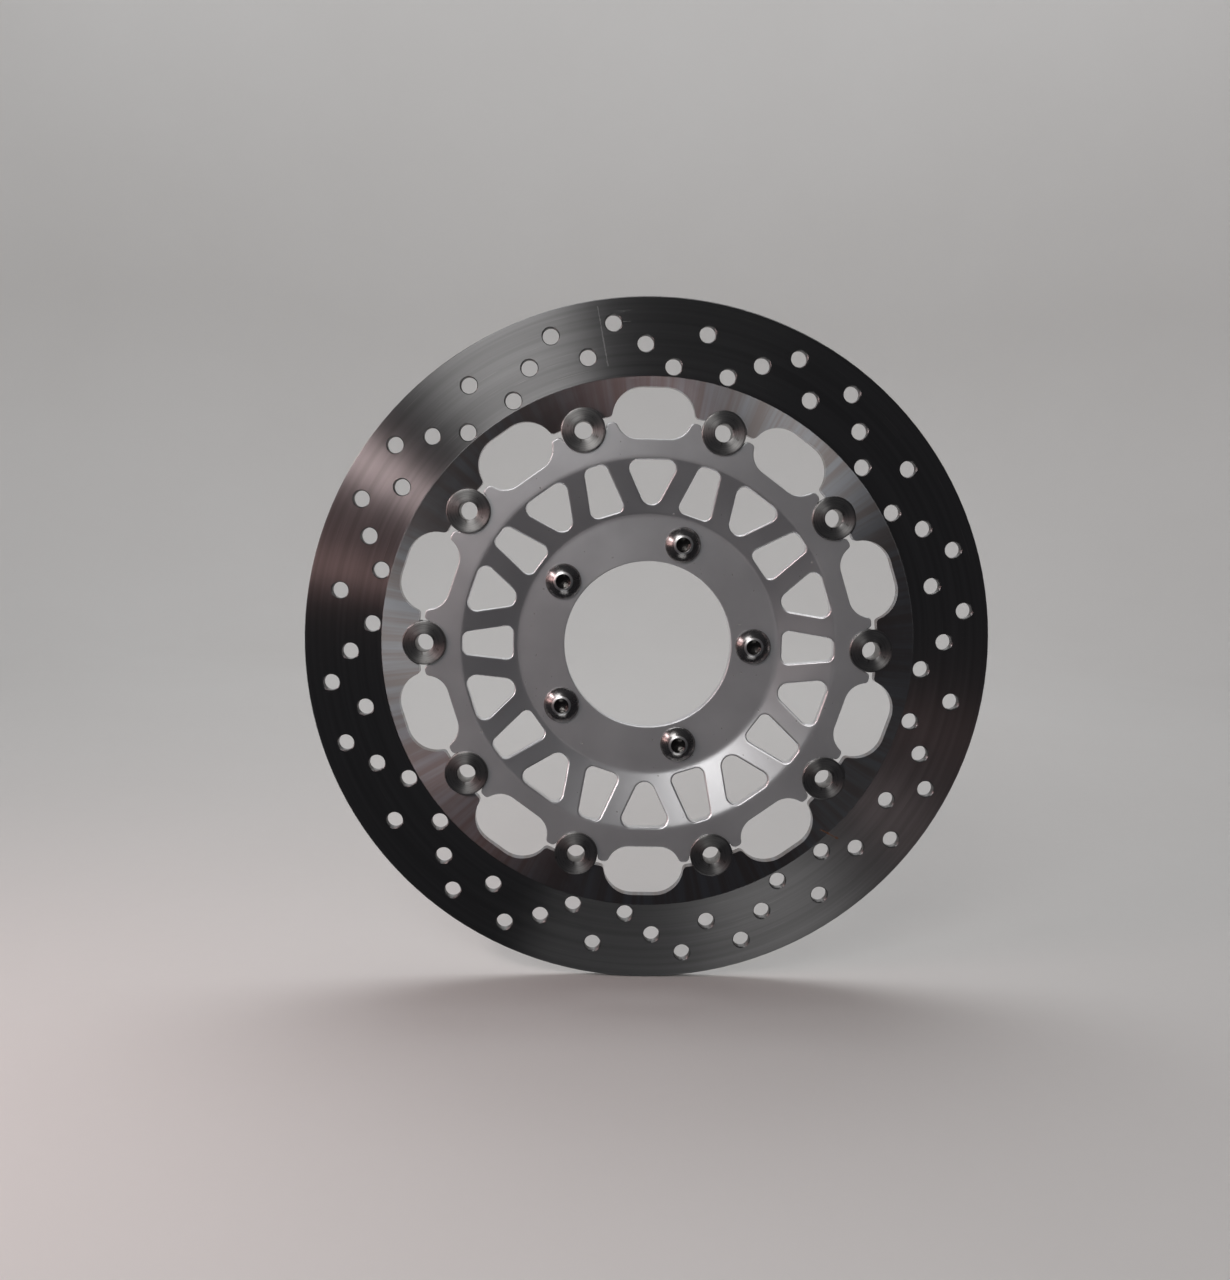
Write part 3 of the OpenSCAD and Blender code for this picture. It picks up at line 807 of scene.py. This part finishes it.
def add_buttons(mat):
    """A detailed button in the place of each CAD button."""
    verts, faces = button_mesh()
    for name in kind("button_"):
        low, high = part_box(name)
        number = name.rsplit("_", 1)[1]
        made = mesh_object("button_detail_" + number, verts, faces, mat)
        made.matrix_world = Matrix.Translation(((low.x + high.x) / 2, 0.0, (low.z + high.z) / 2))
        sharp_edges(made)
        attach(made, "button_set_" + number)
        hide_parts(name)


def sharp_edges(obj, angle=35):
    """Turns all faces outwards and keeps edges sharper than the angle crisp."""
    b = bmesh.new()
    b.from_mesh(obj.data)
    bmesh.ops.recalc_face_normals(b, faces=b.faces)
    limit = math.radians(angle)
    for e in b.edges:
        if len(e.link_faces) == 2 and e.calc_face_angle(0.0) > limit:
            e.smooth = False
    b.to_mesh(obj.data)
    b.free()


def dress(names, mat):
    """Gives CAD nodes their material."""
    for name in names:
        slots = nodes[name].data.materials
        slots.clear()
        slots.append(mat)


def kind(prefix):
    """The names of the CAD nodes of one kind."""
    return [n for n in nodes if n.startswith(prefix)]


# ---------------------------------------------------------------- stage, lights, camera


def floor_piece(name, columns, mat):
    """A surface through columns of points, which each start at the same middle point."""
    count = len(columns[0]) - 1
    verts = [tuple(columns[0][0])] + [tuple(p) for column in columns for p in column[1:]]
    faces = []
    for i in range(len(columns) - 1):
        here, there = 1 + i * count, 1 + (i + 1) * count
        faces.append((0, there, here))
        for k in range(count - 1):
            faces.append((here + k, there + k, there + k + 1, here + k + 1))
    made = mesh_object(name, verts, faces, mat)
    return made


FLOOR_FLAT, FLOOR_BEND_R, WALL_HEIGHT, BEND_STEPS = 1.3, 0.6, 1.6, 14
FLOOR_GAP = 0.0002


def add_stage(mat):
    """A pale floor that curves up into a wall behind the disc; its front half isn't mirrored."""
    ground = Vector((0, 0, cad_box[0].z - FLOOR_GAP))
    up = Vector((0, 0, 1))

    def outwards(degrees):  # 0 points to the back
        a = math.radians(degrees)
        return Vector((math.sin(a), math.cos(a), 0.0))

    def column_at(degrees):
        """Points from the middle outwards, the last of them lifted the more the farther back."""
        back = 0.5 + 0.5 * math.cos(math.radians(degrees))
        share = min(1.0, max(0.0, (back - 0.56) / 0.30))
        lift = math.radians(90) * share ** 2 * (3 - 2 * share)
        out = outwards(degrees)
        column = [ground + out * r for r in (0.0, 0.2, 0.5, FLOOR_FLAT)]
        stride = FLOOR_BEND_R * math.pi / 2 / BEND_STEPS
        for step in range(1, BEND_STEPS + 1):
            g = lift * (step - 0.5) / BEND_STEPS
            column.append(column[-1] + (out * math.cos(g) + up * math.sin(g)) * stride)
        column.append(column[-1] + (out * math.cos(lift) + up * math.sin(lift)) * WALL_HEIGHT)
        return column

    floor_piece("studio_back", [column_at(a) for a in range(-90, 91, 5)], mat)
    front = floor_piece("studio_front", [column_at(a) for a in range(90, 271, 5)], mat)
    front.visible_glossy = False  # the real disc hangs over a narrow ledge in a dim room


def add_light(name, where, size_x, size_y, power, colour, x_axis, face):
    """A rectangular soft light: its first side runs along x_axis, and it shines towards face."""
    data = bpy.data.lights.new(name, "AREA")
    data.shape = "RECTANGLE"
    data.size, data.size_y = size_x, size_y
    data.energy = power
    data.color = colour
    z = -Vector(face).normalized()
    x = Vector(x_axis).normalized()
    x = (x - z * x.dot(z)).normalized()
    y = z.cross(x)
    turn = Matrix((x, y, z)).transposed().to_4x4()
    obj = link(bpy.data.objects.new(name, data))
    obj.matrix_world = Matrix.Translation(where) @ turn


def about_axis(azimuth, tilt, distance):
    """A point seen from the disc at an azimuth (from +X towards +Z) and a tilt from -Y."""
    a, t = math.radians(azimuth), math.radians(tilt)
    return distance * Vector((math.sin(t) * math.cos(a), -math.cos(t), math.sin(t) * math.sin(a)))


def edge_panel(name, azimuth, width, tilt_low, tilt_high, distance, power, colour):
    """A soft light whose right edge lies in the plane through the spin axis at this azimuth."""
    low = about_axis(azimuth, tilt_low, distance)
    high = about_axis(azimuth, tilt_high, distance)
    edge = high - low
    a = math.radians(azimuth)
    side = Vector((-math.sin(a), 0, math.cos(a)))
    centre = (low + high) / 2 + side * width / 2
    face = -side.cross(edge)
    if face.dot(-centre) < 0:
        face = -face
    add_light(name, centre, width, edge.length, power, colour, side, face)


# azimuth, width, lowest and highest tilt, distance, power, colour; the disc mirrors each as a
# bright sector at its azimuth
PANELS = {
    "window_low": (102, 0.38, 20, 33, 1.5, 1.7, (1.0, 0.99, 0.985)),
    "window_high": (102, 0.60, 33, 47, 1.5, 2.9, (1.0, 0.99, 0.985)),
    "pink_strip": (147.5, 0.052, 48, 75, 0.5, 0.36, (1.0, 0.82, 0.82)),
    "copper_strip": (169.5, 0.06, 48, 75, 0.8, 0.26, (1.0, 0.62, 0.58)),
    "copper_panel": (147, 0.22, 48, 75, 0.5, 0.15, (1.0, 0.66, 0.65)),
    "sill_light": (255, 0.5, 44, 60, 1.0, 0.42, (1.0, 1.0, 1.0)),
}


def add_lights():
    for name, numbers in PANELS.items():
        edge_panel(name, *numbers)
    add_light("back_top_light", (0.0, 0.75, 1.75), 2.2, 1.2, 19, (0.97, 0.985, 1.0),
              (1, 0, 0), (0, 0.15, -1))


def add_room():
    """A dim room in front of the disc for the steel to mirror, and a pale one behind it."""
    world = bpy.data.worlds.new("dim_room")
    bpy.context.scene.world = world
    t = Tree(world)
    whole = t.node("ShaderNodeTexCoord").outputs["Generated"]
    x, y, z = t.node("ShaderNodeSeparateXYZ", {0: whole}).outputs
    lean = t.plus(t.times(z, 0.8), t.times(x, -0.6))
    sky = t.mix(t.span(lean, -0.7, 0.5), rgb(0.030, 0.029, 0.032), rgb(0.055, 0.055, 0.059))
    pale = t.mix(t.span(y, 0.1, 0.5), sky, rgb(0.36, 0.355, 0.35))
    back = t.node("ShaderNodeBackground", {"Color": pale, "Strength": 1.0})
    t.node("ShaderNodeOutputWorld", {"Surface": back.outputs[0]})


CAMERA_AT = (-0.02946, -0.56596, 0.06174)
CAMERA_LOOK = (0.02462, 0.99405, -0.10609)
CAMERA_UP = (-0.01827, 0.10655, 0.99414)
CAMERA_LENS = 33.44


def add_camera():
    """Stands where the photographer stood: a little left of the disc and above its axis."""
    data = bpy.data.cameras.new("camera")
    data.lens = CAMERA_LENS
    data.sensor_width = 36.0
    data.clip_start, data.clip_end = 0.01, 30.0
    look = Vector(CAMERA_LOOK).normalized()
    x = look.cross(Vector(CAMERA_UP)).normalized()
    y = x.cross(look)
    obj = link(bpy.data.objects.new("camera", data))
    turn = Matrix((x, y, -look)).transposed().to_4x4()
    obj.matrix_world = Matrix.Translation(CAMERA_AT) @ turn
    bpy.context.scene.camera = obj


# ---------------------------------------------------------------- everything together

bpy.context.scene.view_settings.view_transform = "Standard"

button_steel = turned_steel("button_steel", rgb(0.30, 0.295, 0.29), rgb(0.42, 0.41, 0.40),
                            0.32, 0.41, 42.0)
washer_steel = turned_steel("washer_steel", rgb(0.42, 0.42, 0.41), rgb(0.55, 0.55, 0.54),
                            0.30, 0.42, 30.0)
springs = spring_steel()
dress(["friction_ring"], disc_steel())
add_carrier(carrier_alloy())
add_buttons(button_steel)
dress(kind("flat_washer_"), washer_steel)
dress(kind("spring_washer_") + kind("clip_"), springs)
add_bolts(bolt_plating())
add_stage(pale_stage())
add_lights()
add_room()
add_camera()
